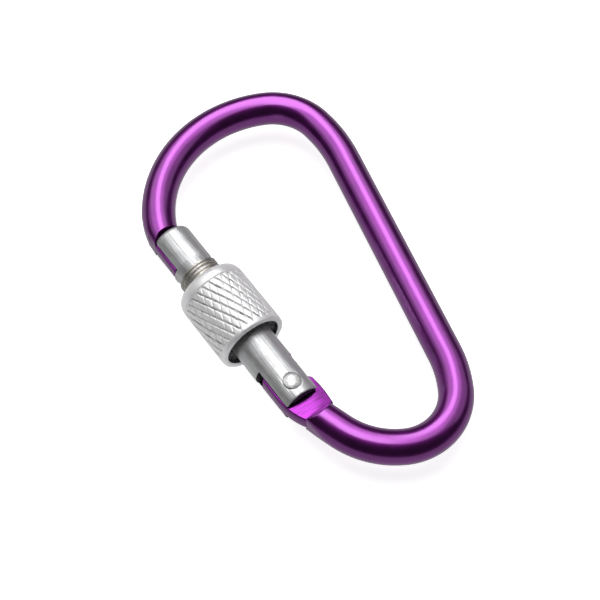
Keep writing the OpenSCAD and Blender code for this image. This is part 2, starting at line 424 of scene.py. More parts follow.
def bore_metal_painted_shade():
    """The sleeve's bore and thread, painted dark grey as shade inside the sleeve, in random patches."""
    g = new_material("bore_aluminium_painted_shade", metallic=0.9)
    oil = g.levels(g.noise((1.5, 1.5, 1.5), 3.0), 0.3, 0.7)
    # Painted shade: dark greys, varied in random patches
    g.set(base_color=g.blend(oil, (0.22, 0.22, 0.23), grey(0.10)))
    g.set(roughness=0.35 + oil * 0.15)
    g.bump(g.noise((8.0, 0.3, 0.3), 2.0), 0.01, 0.4)
    return g.material


def polished_steel():
    """Rivet heads set by a snap tool: bright, with small dents."""
    g = new_material("polished_steel", metallic=1.0)
    dents = g.noise((2.2, 2.2, 2.2), 3.0)
    g.set(base_color=g.blend(g.levels(dents, 0.4, 0.65), grey(0.62), grey(0.46)))
    g.set(roughness=0.30 + dents * 0.16)
    g.bump(dents, 0.03, 0.5)
    return g.material


def dull_steel():
    """The plunger: plain steel, dark with oil."""
    g = new_material("dull_steel", metallic=1.0)
    oil = g.levels(g.noise((1.5, 1.5, 1.5), 3.0), 0.35, 0.7)
    g.set(base_color=g.blend(oil, (0.46, 0.46, 0.47), (0.26, 0.25, 0.24)))
    g.set(roughness=0.28 + oil * 0.2)
    g.bump(g.noise((9.0, 0.5, 0.5), 2.0), 0.01, 0.5)
    return g.material


def drawn_wire():
    """Spring wire with the long marks of the drawing die."""
    g = new_material("drawn_wire", metallic=1.0)
    marks = g.noise((3.0, 3.0, 3.0), 3.0)
    g.set(base_color=g.blend(g.levels(marks, 0.35, 0.7), (0.52, 0.53, 0.55), (0.36, 0.36, 0.37)))
    g.set(roughness=0.22 + marks * 0.15)
    g.bump(marks, 0.01, 0.4)
    return g.material


def pale_floor():
    """Matt white sheet with a very faint tooth, glowing so that no shadow on it gets deep."""
    g = new_material("white_sheet", metallic=0.0, specular_ior_level=0.1, emission_strength=0.82)
    g.set(emission_color=grey(0.95))
    tooth = g.noise((0.8, 0.8, 0.8), 3.0)
    g.set(base_color=g.blend(tooth, grey(0.92), grey(0.94)))
    g.set(roughness=0.85 + tooth * 0.1)
    return g.material


# ---------------------------------------------------------------- making meshes


def only(kind, geom):
    """The verts or the edges in what an operator made."""
    return [item for item in geom if isinstance(item, kind)]


def lathe(points, steps, closed=False):
    """Spins a profile of (place along the gate, radius) about the gate's axis."""
    bm = bmesh.new()
    verts = [bm.verts.new((x, 0.0, r)) for x, r in points]
    edges = [bm.edges.new(pair) for pair in zip(verts, verts[1:])]
    if closed:
        edges.append(bm.edges.new((verts[-1], verts[0])))
    bmesh.ops.spin(bm, geom=verts + edges, cent=(0, 0, 0), axis=(1, 0, 0), angle=FULL_TURN,
                   steps=steps, use_merge=True)
    bmesh.ops.remove_doubles(bm, verts=bm.verts, dist=1e-4)
    bmesh.ops.recalc_face_normals(bm, faces=bm.faces)
    return bm


def helix(section, start_angle, pitch, turns, steps_per_turn):
    """Winds a closed section of (place along the gate, radius) along the gate as a right-hand screw."""
    bm = bmesh.new()
    verts = [bm.verts.new((x, 0.0, r)) for x, r in section]
    face = bm.faces.new(verts)
    bmesh.ops.rotate(bm, verts=verts, cent=(0, 0, 0), matrix=Matrix.Rotation(start_angle, 3, "X"))
    steps = round(turns * steps_per_turn)
    made = bmesh.ops.spin(bm, geom=list(face.edges), cent=(0, 0, 0), axis=(1, 0, 0), angle=FULL_TURN * turns,
                          dvec=(pitch / steps_per_turn, 0, 0), steps=steps, use_merge=False)
    bmesh.ops.edgeloop_fill(bm, edges=only(bmesh.types.BMEdge, made["geom_last"]))
    bmesh.ops.recalc_face_normals(bm, faces=bm.faces)
    return bm


def arc(cx, cr, radius, first, last, count):
    """Points on a profile's corner, from angle first to last, in degrees from the gate's direction."""
    turn = [math.radians(first + (last - first) * i / count) for i in range(count + 1)]
    return [(cx + radius * math.cos(a), cr + radius * math.sin(a)) for a in turn]


def block(low, high):
    """A box between two corners."""
    bm = bmesh.new()
    bmesh.ops.create_cube(bm, size=1.0)
    middle = [(a + b) / 2 for a, b in zip(low, high)]
    bmesh.ops.scale(bm, vec=[b - a for a, b in zip(low, high)], verts=bm.verts)
    bmesh.ops.translate(bm, vec=middle, verts=bm.verts)
    return bm


def post(radius, low, high, along="Z"):
    """A round post between two places on an axis through the hinge."""
    bm = bmesh.new()
    bmesh.ops.create_cone(bm, cap_ends=True, segments=64, radius1=radius, radius2=radius,
                          depth=high - low)
    bmesh.ops.translate(bm, vec=(0, 0, (low + high) / 2), verts=bm.verts)
    if along == "X":
        bmesh.ops.rotate(bm, verts=bm.verts, cent=(0, 0, 0), matrix=Matrix.Rotation(math.pi / 2, 3, "Y"))
    return bm


def as_object(bm, name):
    """Turns a finished mesh into an object of the scene."""
    mesh = bpy.data.meshes.new(name)
    bm.to_mesh(mesh)
    bm.free()
    obj = bpy.data.objects.new(name, mesh)
    bpy.context.scene.collection.objects.link(obj)
    return obj


def cut(bm, tools):
    """The mesh less each tool, with clean faces."""
    body = as_object(bm, "work")
    helpers = [as_object(tool, "tool") for tool in tools]
    for helper in helpers:
        modifier = body.modifiers.new("cut", "BOOLEAN")
        modifier.operation = "DIFFERENCE"
        modifier.solver = "EXACT"
        modifier.object = helper
    graph = bpy.context.evaluated_depsgraph_get()
    result = bpy.data.meshes.new_from_object(body.evaluated_get(graph))
    made = bmesh.new()
    made.from_mesh(result)
    for obj in [body, *helpers]:
        bpy.data.objects.remove(obj)
    bmesh.ops.remove_doubles(made, verts=made.verts, dist=1e-3)
    bmesh.ops.dissolve_degenerate(made, edges=made.edges, dist=1e-3)
    return made


def round_off(bm, edges, width, segments=3):
    bmesh.ops.bevel(bm, geom=edges, offset=width, offset_type="OFFSET", affect="EDGES", segments=segments,
                    profile=0.5, material=-1, clamp_overlap=True)


def soften(bm, width, angle):
    """Rounds every edge that is sharper than an angle, in degrees."""
    limit = math.radians(angle)
    sharp = [e for e in bm.edges if len(e.link_faces) == 2 and e.calc_face_angle(0.0) > limit]
    round_off(bm, sharp, width, segments=2)


def keep_piece(bm, name, body, slot, material, stands_for, sharp=32.0, inner=None):
    """Makes the finished object, in the frame, riding on its body; edges over an angle stay sharp."""
    bmesh.ops.transform(bm, matrix=TO_FRAME, space=Matrix.Identity(4), verts=bm.verts)
    for face in bm.faces:
        face.smooth = True
    obj = as_object(bm, name)
    obj.data.set_sharp_from_angle(angle=math.radians(sharp))
    # The second material, where given, is painted shade for faces in gaps and bores
    for finish in filter(None, (material, inner)):
        obj.data.materials.append(finish)
    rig.ride(obj, body)
    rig.slot(obj, slot)
    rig.replaces(obj, *stands_for)
    return obj


# ---------------------------------------------------------------- the bent rod

# A distance well clear of the gate and the nose
FAR = 20.0
# Where the rod starts at the gate's nose, its heading there in degrees, and its squared face
NOSE_START_X = GATE_FRONT_X - 1.1
NOSE_FACE_X = GATE_FRONT_X - 0.8
NOSE_AXIS_Y = -0.9
NOSE_HEADING = 160.5
# The nose's pressed side: the round by which it runs out, how far past the face the press
# reaches, how softly it meets the rod, and the rounding of the face's edge
NOSE_ROUND_R = 12.0
NOSE_PRESS_RUN = 6
NOSE_SOFT = 0.35
NOSE_EDGE = 0.2
# How far the nose face wraps the barrel's rounded nose, over what width and what length of rod
WRAP_DEPTH = 1.1
WRAP_WIDTH = 2.2
WRAP_RUN = 2.5
WRAP_FROM_Y = -1.0
# The two ends of the rod lie below this height, and of the two only the nose this far left
END_SIDE_Y = 5.0
NOSE_SIDE_X = -30.0
# The tongue: its outer and inner sides, its end in the gate's slot, half its thickness
TONGUE_Y = -3.45
TONGUE_TOP_Y = 2.1
TONGUE_END_X = GATE_FRONT_X + 7.1
TONGUE_HALF = 1.5
# The pressed hinge end: the rod's last point, the press's step up to full height, its slanted flat
ROD_END = Vector((5.8, 0.5))
STEP_X = 6.2
CROWN_X = 7.45
STEP_SOFT = 0.16
FLAT_FROM_X = 4.0
FLAT_TO_X = 12.0
FLAT_Y = -2.32
FLAT_SLOPE = 0.17
FLAT_SOFT = 0.2
# Straight rod before the start, most of which goes when the nose face is squared
RUN_UP = 3.0
# Steps for each degree of bend: finer where the press shapes the nose
NOSE_BEND_STEPS = 1.6
BEND_STEPS = 0.7
# The bender's list: radius and turn in degrees of each bend, with the spine after the third
BENDS = [(22.9, 95.4), (10.9, 60.4), (29.1, 18.2), (21.3, 18.8), (10.3, 89.7), (15.3, 40.2)]
SPINE_AFTER = 3
# Least straight length between two bends
LINK = 0.3


def ahead(heading):
    """Direction of a heading in degrees."""
    return Vector((math.cos(math.radians(heading)), math.sin(math.radians(heading))))


def left(heading):
    """Direction square to a heading, on its left."""
    return Vector((-math.sin(math.radians(heading)), math.cos(math.radians(heading))))


def straights():
    """Lengths of the straights after the bends; the spine and the last one close the loop."""
    heading = NOSE_HEADING
    reached = Vector((NOSE_START_X, NOSE_AXIS_Y))
    for number, (radius, turn) in enumerate(BENDS, 1):
        after = heading - turn
        reached += radius * (left(after) - left(heading)) + LINK * ahead(after)
        heading = after
        if number == SPINE_AFTER:
            spine = ahead(heading)
    last = ahead(heading)
    gap = ROD_END - reached
    cross = spine.x * last.y - spine.y * last.x
    lengths = [LINK] * len(BENDS)
    lengths[SPINE_AFTER - 1] += (gap.x * last.y - gap.y * last.x) / cross
    lengths[-1] += (spine.x * gap.y - spine.y * gap.x) / cross
    return lengths


def soft_least(value, limit, soft):
    """The lesser of two numbers, with a rounded corner."""
    gap = max(soft - abs(value - limit), 0.0) / soft
    return min(value, limit) - gap * gap * soft / 4


def soft_most(value, limit, soft):
    """The greater of two numbers, with a rounded corner."""
    return -soft_least(-value, -limit, soft)


def nose_floor(x):
    """Outer side of the pressed nose: level with the barrel, then a round that runs out into the bend."""
    bend_r = BENDS[0][0]
    centre = Vector((NOSE_START_X, NOSE_AXIS_Y)) - bend_r * left(NOSE_HEADING)
    round_y = TONGUE_Y + NOSE_ROUND_R
    reach = bend_r + ROD_R - NOSE_ROUND_R
    round_x = centre.x - math.sqrt(reach * reach - (centre.y - round_y) ** 2)
    if x >= round_x:
        return TONGUE_Y
    first = math.atan2(round_y - centre.y, round_x - centre.x)
    if x < round_x + NOSE_ROUND_R * math.cos(first):
        return -FAR
    return round_y - math.sqrt(NOSE_ROUND_R * NOSE_ROUND_R - (round_x - x) ** 2)


def tab_height(x):
    """Half thickness that the press leaves near the hinge, just inside the tab's faces at first."""
    flat = TONGUE_HALF - 0.03
    clear = ROD_R + 0.3
    if x <= STEP_X:
        return flat
    return flat + (x - STEP_X) * (clear - flat) / (CROWN_X - STEP_X)


def tab_floor(x):
    """Slanted flat that the press leaves on the rod's outer side, running into the tab."""
    return FLAT_SLOPE * (x - FLAT_FROM_X) + FLAT_Y


def extend(bm, ring, heading, length, steps):
    """Runs an open end of the rod straight on."""
    move = ahead(heading) * (length / steps)
    for _ in range(steps):
        made = bmesh.ops.extrude_edge_only(bm, edges=ring)["geom"]
        moved = only(bmesh.types.BMVert, made)
        bmesh.ops.translate(bm, vec=(move.x, move.y, 0), verts=moved)
        fresh = only(bmesh.types.BMEdge, made)
        ring = [e for e in fresh if e.verts[0] in moved and e.verts[1] in moved]
    return ring


def bent_rod(sides):
    """Sweeps a circle along the bender's list, from the nose round to the hinge."""
    bm = bmesh.new()
    bmesh.ops.create_circle(bm, cap_ends=False, segments=sides, radius=ROD_R)
    turn = Matrix.Rotation(math.radians(NOSE_HEADING), 3, "Z") @ Matrix.Rotation(math.pi / 2, 3, "Y")
    bmesh.ops.rotate(bm, verts=bm.verts, cent=(0, 0, 0), matrix=turn)
    at = Vector((NOSE_START_X, NOSE_AXIS_Y))
    heading = NOSE_HEADING
    start = at - RUN_UP * ahead(heading)
    bmesh.ops.translate(bm, vec=(start.x, start.y, 0), verts=bm.verts)
    ring = extend(bm, list(bm.edges), heading, RUN_UP, 12)
    for number, ((radius, turn), length) in enumerate(zip(BENDS, straights())):
        centre = at - radius * left(heading)
        steps = round(turn * (NOSE_BEND_STEPS if number == 0 else BEND_STEPS))
        made = bmesh.ops.spin(bm, geom=ring, cent=(centre.x, centre.y, 0), axis=(0, 0, -1),
                              angle=math.radians(turn), steps=steps, use_merge=False)
        ring = only(bmesh.types.BMEdge, made["geom_last"])
        heading -= turn
        at = centre + radius * left(heading)
        # The last straight is cut fine, for the press to shape
        steps = 48 if number == len(BENDS) - 1 else max(1, round(length / 2))
        ring = extend(bm, ring, heading, length, steps)
        at += length * ahead(heading)
    bmesh.ops.edgeloop_fill(bm, edges=ring)
    bmesh.ops.recalc_face_normals(bm, faces=bm.faces)
    press_ends(bm)
    return bm


def on_nose_face(face):
    return all(abs(v.co.x - NOSE_FACE_X) < 1e-3 and v.co.y < END_SIDE_Y for v in face.verts)


def wrap_nose(bm):
    """Brings the outer side of the nose face forward, round the barrel's rounded nose."""
    for place in (-1.3, -1.7, -2.1, -2.45, -2.8, -3.1):
        cap = [f for f in bm.faces if on_nose_face(f)]
        geom = cap + list({e for f in cap for e in f.edges}) + list({v for f in cap for v in f.verts})
        bmesh.ops.bisect_plane(bm, geom=geom, dist=1e-5, plane_co=(0, place, 0), plane_no=(0, 1, 0))
    # The nose face takes the second material, painted shade
    for f in bm.faces:
        if on_nose_face(f):
            f.material_index = PAINTED_SHADE_INDEX
    for v in bm.verts:
        behind = NOSE_FACE_X - v.co.x
        if v.co.y < WRAP_FROM_Y and behind < WRAP_RUN and v.co.x < NOSE_SIDE_X:
            outward = (WRAP_FROM_Y - v.co.y) / WRAP_WIDTH
            v.co.x += WRAP_DEPTH * outward ** 2 * (1 - behind / WRAP_RUN) ** 2


def press_ends(bm):
    """Presses the nose's outer side level and the hinge end flat, then squares the nose face."""
    for v in [v for v in bm.verts if v.co.y < END_SIDE_Y]:
        if v.co.x < NOSE_FACE_X + NOSE_PRESS_RUN:
            v.co.y = soft_most(v.co.y, nose_floor(v.co.x), NOSE_SOFT)
        if FLAT_FROM_X < v.co.x < FLAT_TO_X:
            v.co.y = soft_most(v.co.y, tab_floor(v.co.x), FLAT_SOFT)
        if 0.0 < v.co.x < CROWN_X + 1.0:
            side = 1.0 if v.co.z > 0 else -1.0
            v.co.z = side * soft_least(abs(v.co.z), tab_height(v.co.x), STEP_SOFT)
    whole = list(bm.verts) + list(bm.edges) + list(bm.faces)
    made = bmesh.ops.bisect_plane(bm, geom=whole, dist=1e-5, plane_co=(NOSE_FACE_X, 0, 0),
                                  plane_no=(1, 0, 0))
    rim = [e for e in only(bmesh.types.BMEdge, made["geom_cut"]) if e.verts[0].co.y < END_SIDE_Y]
    stub = [v for v in bm.verts if NOSE_FACE_X + 1e-4 < v.co.x < NOSE_SIDE_X and v.co.y < END_SIDE_Y]
    bmesh.ops.delete(bm, geom=stub, context="VERTS")
    rim = [e for e in rim if e.is_valid]
    cap = bmesh.ops.edgeloop_fill(bm, edges=rim)["faces"]
    round_off(bm, [e for f in cap for e in f.edges], NOSE_EDGE)
    wrap_nose(bm)
    bmesh.ops.recalc_face_normals(bm, faces=bm.faces)


# The hinge tab: reach of its front, its two arched sides, the chamfer of its tip, the rivet's hole
TAB_REACH = 4.2
TAB_TOP_Y = 4.15
TAB_OUTER_R = 12.0
TAB_INNER_R = 20.0
TIP_CHAMFER = 0.4
HOLE_R = 1.05
# The cam pushes the plunger by this much for each radian, and its curve ends at this angle in degrees
CAM_LIFT = 1.2
CAM_END = 30


def tab_outline():
    """The tab's edge, anticlockwise from its outer tip; its front is the cam that the plunger rides on."""
    outer = arc(0.5, TONGUE_Y + TAB_OUTER_R, TAB_OUTER_R, 270, 300.5, 12)
    inner = arc(3.5, TAB_TOP_Y - TAB_INNER_R, TAB_INNER_R, 81.5, 99, 10) + [(-0.1, 3.4)]
    cam = []
    for angle in range(CAM_END, -1, -3):
        a = math.radians(angle)
        reach = TAB_REACH + CAM_LIFT * a
        x = -reach * math.cos(a) + CAM_LIFT * math.sin(a)
        y = reach * math.sin(a) + CAM_LIFT * math.cos(a)
        cam.append((x, y))
    tip = [(-TAB_REACH, TONGUE_Y + TIP_CHAMFER), (-TAB_REACH + TIP_CHAMFER, TONGUE_Y)]
    return tip + outer + inner + cam


def hinge_tab(edge):
    """The pressed tab, with its rim rounded and the rivet's hole through it."""
    bm = bmesh.new()
    verts = [bm.verts.new((x, y, -TONGUE_HALF)) for x, y in tab_outline()]
    face = bm.faces.new(verts)
    top = bmesh.ops.extrude_face_region(bm, geom=[face])["geom"]
    bmesh.ops.translate(bm, vec=(0, 0, 2 * TONGUE_HALF), verts=only(bmesh.types.BMVert, top))
    bmesh.ops.recalc_face_normals(bm, faces=bm.faces)
    rims = [e for e in bm.edges if abs(e.verts[0].co.z - e.verts[1].co.z) < 1e-6]
    round_off(bm, rims, edge)
    return cut(bm, [post(HOLE_R, -5, 5)])


def nose_tongue(edge):
    """The pressed tongue, which starts inside the rod and ends in the gate's slot."""
    low = (NOSE_FACE_X - 1.2, TONGUE_Y + 0.02, -TONGUE_HALF)
    bm = block(low, (TONGUE_END_X, TONGUE_TOP_Y, TONGUE_HALF))
    round_off(bm, bm.edges[:], edge)
    return bm


class CARABINER_OT_bent_rod(bpy.types.Operator):
    """Bends the rod and presses its nose tongue and hinge tab"""

    bl_idname = "carabiner.bent_rod"
    bl_label = "Bent rod"

    def execute(self, context):
        s = context.scene.carabiner_rod
        oxide = anodised_rod(s.colour)
        pressed = anodised_press(s.colour)
        keep_piece(bent_rod(s.sides), "bent_rod", "frame", "anodised_rod", oxide, ["bent_frame"], 50.0,
                   painted_gap_shade(s.colour))
        keep_piece(hinge_tab(s.edge), "hinge_tab", "frame", "anodised_rod", pressed, ["bent_frame"])
        keep_piece(nose_tongue(s.edge), "nose_tongue", "frame", "anodised_rod", pressed, ["bent_frame"])
        return {"FINISHED"}


# ---------------------------------------------------------------- the gate

# The gate's slots for the tongue and the tab, its thread and the plunger's bore
SLOT_HALF = 2.1
NOSE_SLOT_X = TONGUE_END_X + 0.3
NOSE_SLOT_Y = TONGUE_TOP_Y + 0.05
HINGE_SLOT_X = -5.3
THREAD_FROM_X = -29.4
THREAD_TO_X = -13.2
THREAD_ROOT_R = 3.64
BORE_R = 1.8
# Rounding of the barrel's two ends
NOSE_ROUND = 1.0
TAIL_ROUND = 0.25
# The rivet's seat in the barrel, and the dome and shaft of the rivet
SEAT_R = 1.63
SEAT_Z = 3.42
DOME_R = 1.6
DOME_RISE = 0.34
SHAFT_R = 1.0
# Length of the plunger's head and radius of its stem
HEAD_LENGTH = 4.0
STEM_R = 0.9
# The return spring
COIL_TURNS = 9.0
WIRE_R = 0.2


def barrel(radius):
    """The turned barrel, with a slot at each end, the plunger's bore and the rivet's seats."""
    nose = arc(GATE_FRONT_X + NOSE_ROUND, radius - NOSE_ROUND, NOSE_ROUND, 180, 90, 10)
    tail = arc(GATE_BACK_X - TAIL_ROUND, radius - TAIL_ROUND, TAIL_ROUND, 90, 0, 4)
    groove = [(THREAD_FROM_X - 0.6, radius), (THREAD_FROM_X - 0.2, THREAD_ROOT_R),
              (THREAD_TO_X, THREAD_ROOT_R), (THREAD_TO_X + 0.35, radius)]
    # Rings of points beside the slots keep the long faces of the barrel regular
    rings = [(x, radius) for x in (-10.0, HINGE_SLOT_X - 0.4, HINGE_SLOT_X + 0.4, -2.5, 0.0, 1.6)]
    collar = [(x, radius) for x in (NOSE_SLOT_X - 3.0, NOSE_SLOT_X - 0.3)]
    points = [(GATE_FRONT_X, 0.0)] + nose + collar + groove + rings + tail + [(GATE_BACK_X, 0.0)]
    bm = cut(lathe(points, 128), [
        block((GATE_FRONT_X - FAR, -FAR, -SLOT_HALF), (NOSE_SLOT_X, NOSE_SLOT_Y, SLOT_HALF)),
        block((HINGE_SLOT_X, -FAR, -SLOT_HALF), (FAR, FAR, SLOT_HALF)),
        post(BORE_R, SPRING_FAR_X, HINGE_SLOT_X + 0.5, "X"),
        post(SEAT_R, SEAT_Z, 6.0),
        post(SEAT_R, -6.0, -SEAT_Z),
    ])
    soften(bm, 0.09, 45.0)
    # The slot walls and the hinge end take the second material, painted shade
    for f in bm.faces:
        middle = f.calc_center_median()
        beside_nose = GATE_FRONT_X + 0.05 < middle.x < NOSE_SLOT_X + 0.02
        beside_hinge = middle.x > HINGE_SLOT_X - 0.02
        inside = math.hypot(middle.y, middle.z) < radius - 0.15 and abs(middle.z) < SLOT_HALF + 0.02
        hinge_end = middle.x > GATE_BACK_X - 0.01
        if (inside and (beside_nose or beside_hinge)) or hinge_end:
            f.material_index = PAINTED_SHADE_INDEX
    return bm


def gate_thread(pitch):
    """The barrel's raised thread: each turn is a double crest, as (part of the pitch, part of the rise)."""
    root = THREAD_ROOT_R - 0.25
    rise = THREAD_R - THREAD_ROOT_R
    steps = [(0.04, 0.0), (0.12, 0.55), (0.20, 0.92), (0.28, 1.0), (0.37, 0.92), (0.44, 0.66), (0.50, 0.58),
             (0.56, 0.66), (0.63, 0.92), (0.72, 1.0), (0.80, 0.92), (0.88, 0.55), (0.96, 0.0)]
    section = [(0.04 * pitch, root)]
    section += [(x * pitch, THREAD_ROOT_R + h * rise) for x, h in steps]
    section += [(0.96 * pitch, root)]
    section = [(THREAD_FROM_X + x - 0.2, r) for x, r in section]
    turns = (THREAD_TO_X - THREAD_FROM_X) / pitch - 0.7
    return helix(section, math.radians(160), pitch, turns, 96)


def rivet():
    """The hinge's rivet: a shaft with a shallow dome at each end."""
    crown = RIVET_TOP_Z - 0.08
    ball = (DOME_R ** 2 + DOME_RISE ** 2) / (2 * DOME_RISE)
    cap = math.degrees(math.asin(DOME_R / ball))
    top = arc(crown - ball, 0.0, ball, 0.0, cap, 10)
    side = [(SEAT_Z, DOME_R), (SEAT_Z, SHAFT_R)]
    upper = [(x, max(r, 0.0)) for x, r in top] + side
    lower = [(-x, r) for x, r in reversed(upper)]
    bm = lathe(upper + lower, 64)
    bmesh.ops.rotate(bm, verts=bm.verts, cent=(0, 0, 0), matrix=Matrix.Rotation(-math.pi / 2, 3, "Y"))
    soften(bm, 0.06, 50.0)
    return bm


def plunger():
    """The plunger: a round head that rides on the cam, and a stem inside the spring."""
    radius = BORE_R - 0.1
    tip = 0.25
    chamfer = 0.2
    head_back = PLUNGER_FRONT_X - HEAD_LENGTH
    points = [(PLUNGER_FRONT_X, 0.0), (PLUNGER_FRONT_X, radius - tip)]
    points += arc(PLUNGER_FRONT_X - tip, radius - tip, tip, 0, 90, 4)
    points += [(head_back + chamfer, radius), (head_back, radius - chamfer), (head_back, STEM_R)]
    points += [(PLUNGER_BACK_X + chamfer, STEM_R), (PLUNGER_BACK_X, 0.7), (PLUNGER_BACK_X, 0.0)]
    bm = lathe(points, 64)
    soften(bm, 0.05, 60.0)
    return bm


def spring_coil():
    """The return spring's wire, wound between the bore's floor and the plunger's head."""
    length = SPRING_NEAR_X - SPRING_FAR_X - 2 * WIRE_R
    mean_r = span("return_spring", 1)[1] - WIRE_R
    ring = arc(SPRING_FAR_X + WIRE_R, mean_r, WIRE_R, 0, 330, 11)
    return helix(ring, 0.0, length / COIL_TURNS, COIL_TURNS, 48)


class CARABINER_OT_gate(bpy.types.Operator):
    """Turns the gate's barrel, cuts its slots and bore, and rolls its thread"""

    bl_idname = "carabiner.gate"
    bl_label = "Gate"

    def execute(self, context):
        s = context.scene.carabiner_gate
        metal = turned_metal(s.colour)
        keep_piece(barrel(s.barrel_radius), "gate_barrel_turned", "gate", "turned_aluminium", metal,
                   ["gate_barrel"], 30.0, milled_metal_painted_shade())
        keep_piece(gate_thread(s.thread_pitch), "gate_thread", "gate", "turned_aluminium", thread_metal(),
                   ["gate_barrel"], 30.0)
        return {"FINISHED"}


class CARABINER_OT_hinge_parts(bpy.types.Operator):
    """Makes the rivet, the plunger and the return spring"""

    bl_idname = "carabiner.hinge_parts"
    bl_label = "Rivet, plunger and spring"

    def execute(self, context):
        keep_piece(rivet(), "rivet_domed", "gate", "rivet_steel", polished_steel(), ["hinge_rivet"], 30.0)
        keep_piece(plunger(), "plunger_turned", "plunger", "plunger_steel", dull_steel(), ["spring_plunger"])
        coil = keep_piece(spring_coil(), "spring_coil", "gate", "spring_wire", drawn_wire(),
                          ["return_spring"], 60.0)
        travel = 0.67
        length = SPRING_NEAR_X - SPRING_FAR_X
        anchor = HINGE + Vector((SPRING_FAR_X, 0, 0)) * MM
        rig.squash(coil, "plunger_slide", (1, 0, 0), tuple(anchor), keep=(length - travel) / length)
        return {"FINISHED"}


# ---------------------------------------------------------------- the sleeve

# Radii inside the sleeve: its plain bore, its nut's thread and its wide mouth at the hinge
BORE_OUTER_R = 4.25
NUT_R = 4.12
MOUTH_R = 5.3
# Columns of points for each knurl line, and the widths of the two grooves as phases in radians
COLUMNS_PER_LINE = 16
MAIN_WIDTH = 1.15
CROSS_WIDTH = 0.9
# Over this length the grooves run out at both ends of the knurl
RUN_OUT = 0.25
# The nose band's shoulder
SHOULDER = 2.2
SHOULDER_RUN = 2.0
SHOULDER_DROP = 0.85


def valley(phase, width):
    """Depth of a V groove at a phase, from 0 on the crest to 1 on its floor."""
    turn = abs((phase + math.pi) % FULL_TURN - math.pi)
    return max(0.0, 1.0 - turn / width)


def grip(s):
    """The knurled grip, in rows of points fine enough to press the grooves into."""
    columns = s.lines * COLUMNS_PER_LINE
    step = FULL_TURN * SLEEVE_R / columns / math.tan(s.slant)
    front = RING_BACK_X + 0.18
    back = GRIP_BACK_X - 0.75
    rows = round((back - front) / step)
    step = (back - front) / rows
    outer = [(front + i * step, SLEEVE_R) for i in range(rows + 1)]
    seam = [(RING_BACK_X + 0.02, BORE_OUTER_R), (RING_BACK_X + 0.02, SLEEVE_R - 0.24),
            (RING_BACK_X + 0.08, SLEEVE_R - 0.16)]
    tail = [(GRIP_BACK_X - 0.45, SLEEVE_R - 0.04)] + arc(GRIP_BACK_X - 0.35, SLEEVE_R - 0.42, 0.35, 80, 0, 4)
    # The mouth and the nut behind it, as (depth in from the hinge end, radius)
    bore = [(0.0, MOUTH_R + 0.2), (0.2, MOUTH_R), (1.2, MOUTH_R), (1.35, MOUTH_R - 0.15), (1.35, 4.75),
            (1.85, 4.2), (2.3, 4.16), (2.5, 4.42), (3.2, 4.42), (3.6, NUT_R + 0.02), (5.2, NUT_R + 0.02),
            (5.4, BORE_OUTER_R)]
    mouth = [(GRIP_BACK_X - depth, radius) for depth, radius in bore]
    bm = lathe(seam + outer + tail + mouth, columns, closed=True)
    layer = bm.verts.layers.float.new("groove")
    twist = math.tan(s.slant) / SLEEVE_R
    for v in bm.verts:
        x = v.co.x
        radius = math.hypot(v.co.y, v.co.z)
        if radius < SLEEVE_R - 0.01 or x < front - 0.01 or x > back + 0.01:
            continue
        angle = math.atan2(v.co.z, v.co.y)
        main = valley(s.lines * (angle + twist * (x - front)), MAIN_WIDTH)
        cross = valley(s.lines * (angle - twist * (x - front)), CROSS_WIDTH)
        ends = min(1.0, (x - front) / RUN_OUT, (back - x) / RUN_OUT)
        drop = max(s.deep * main, s.shallow * cross) * max(ends, 0.0)
        v[layer] = min(1.0, drop / s.deep)
        v.co.y *= 1 - drop / radius
        v.co.z *= 1 - drop / radius
    # The mouth and the bore take the second material, painted shade
    for f in bm.faces:
        middle = f.calc_center_median()
        if math.hypot(middle.y, middle.z) < MOUTH_R + 0.05 and middle.x > RING_BACK_X + 0.1:
            f.material_index = PAINTED_SHADE_INDEX
    return bm


def band():
    """The plain nose band, with a shoulder that is a quarter of an ellipse."""
    front = RING_FRONT_X
    points = [(front + 0.3, BORE_OUTER_R), (front, BORE_OUTER_R + 0.3)]
    points += [(front, SLEEVE_R - 1.2), (front + 0.05, SLEEVE_R - 1.05)]
    for angle in range(80, -1, -8):
        a = math.radians(angle)
        x = front + SHOULDER - SHOULDER_RUN * math.sin(a)
        points.append((x, SLEEVE_R - SHOULDER_DROP * (1 - math.cos(a))))
    points += [(RING_BACK_X - 0.12, SLEEVE_R - 0.01), (RING_BACK_X - 0.03, SLEEVE_R - 0.12),
               (RING_BACK_X - 0.01, BORE_OUTER_R)]
    return lathe(points, 160, closed=True)


class CARABINER_OT_sleeve(bpy.types.Operator):
    """Turns the sleeve: a plain nose band and a grip knurled in both hands"""

    bl_idname = "carabiner.sleeve"
    bl_label = "Sleeve"

    def execute(self, context):
        s = context.scene.carabiner_sleeve
        metal = knurled_metal(s.colour)
        keep_piece(grip(s), "sleeve_knurled", "sleeve_turner", "sleeve_aluminium", metal,
                   ["sleeve_grip"], 38.0, bore_metal_painted_shade())
        keep_piece(band(), "sleeve_band", "sleeve_carriage", "sleeve_aluminium", metal,
                   ["sleeve_nose_ring"], 40.0)
        return {"FINISHED"}


# ---------------------------------------------------------------- the studio

# The point that the camera looks at, from the hinge
LOOK_AT = Vector((-13.59, 11.64, 0.0))
FLOOR_HALF = 3000.0
# Lights: distance in metres, rise from the camera's axis and half their height as an angle in degrees
LIGHT_AWAY = 0.6
LIGHT_RISE = 54
LIGHT_HALF_HEIGHT = 31
# Name, shift to the camera's left as a slope, width in metres and brightness of each light
SOFTBOXES = [
    ("strip_box", 0.07, 0.24, 2.3),
    ("wide_box", 0.16, 0.90, 0.75),
    ("side_fill", 0.0, 2.4, 0.5),
]


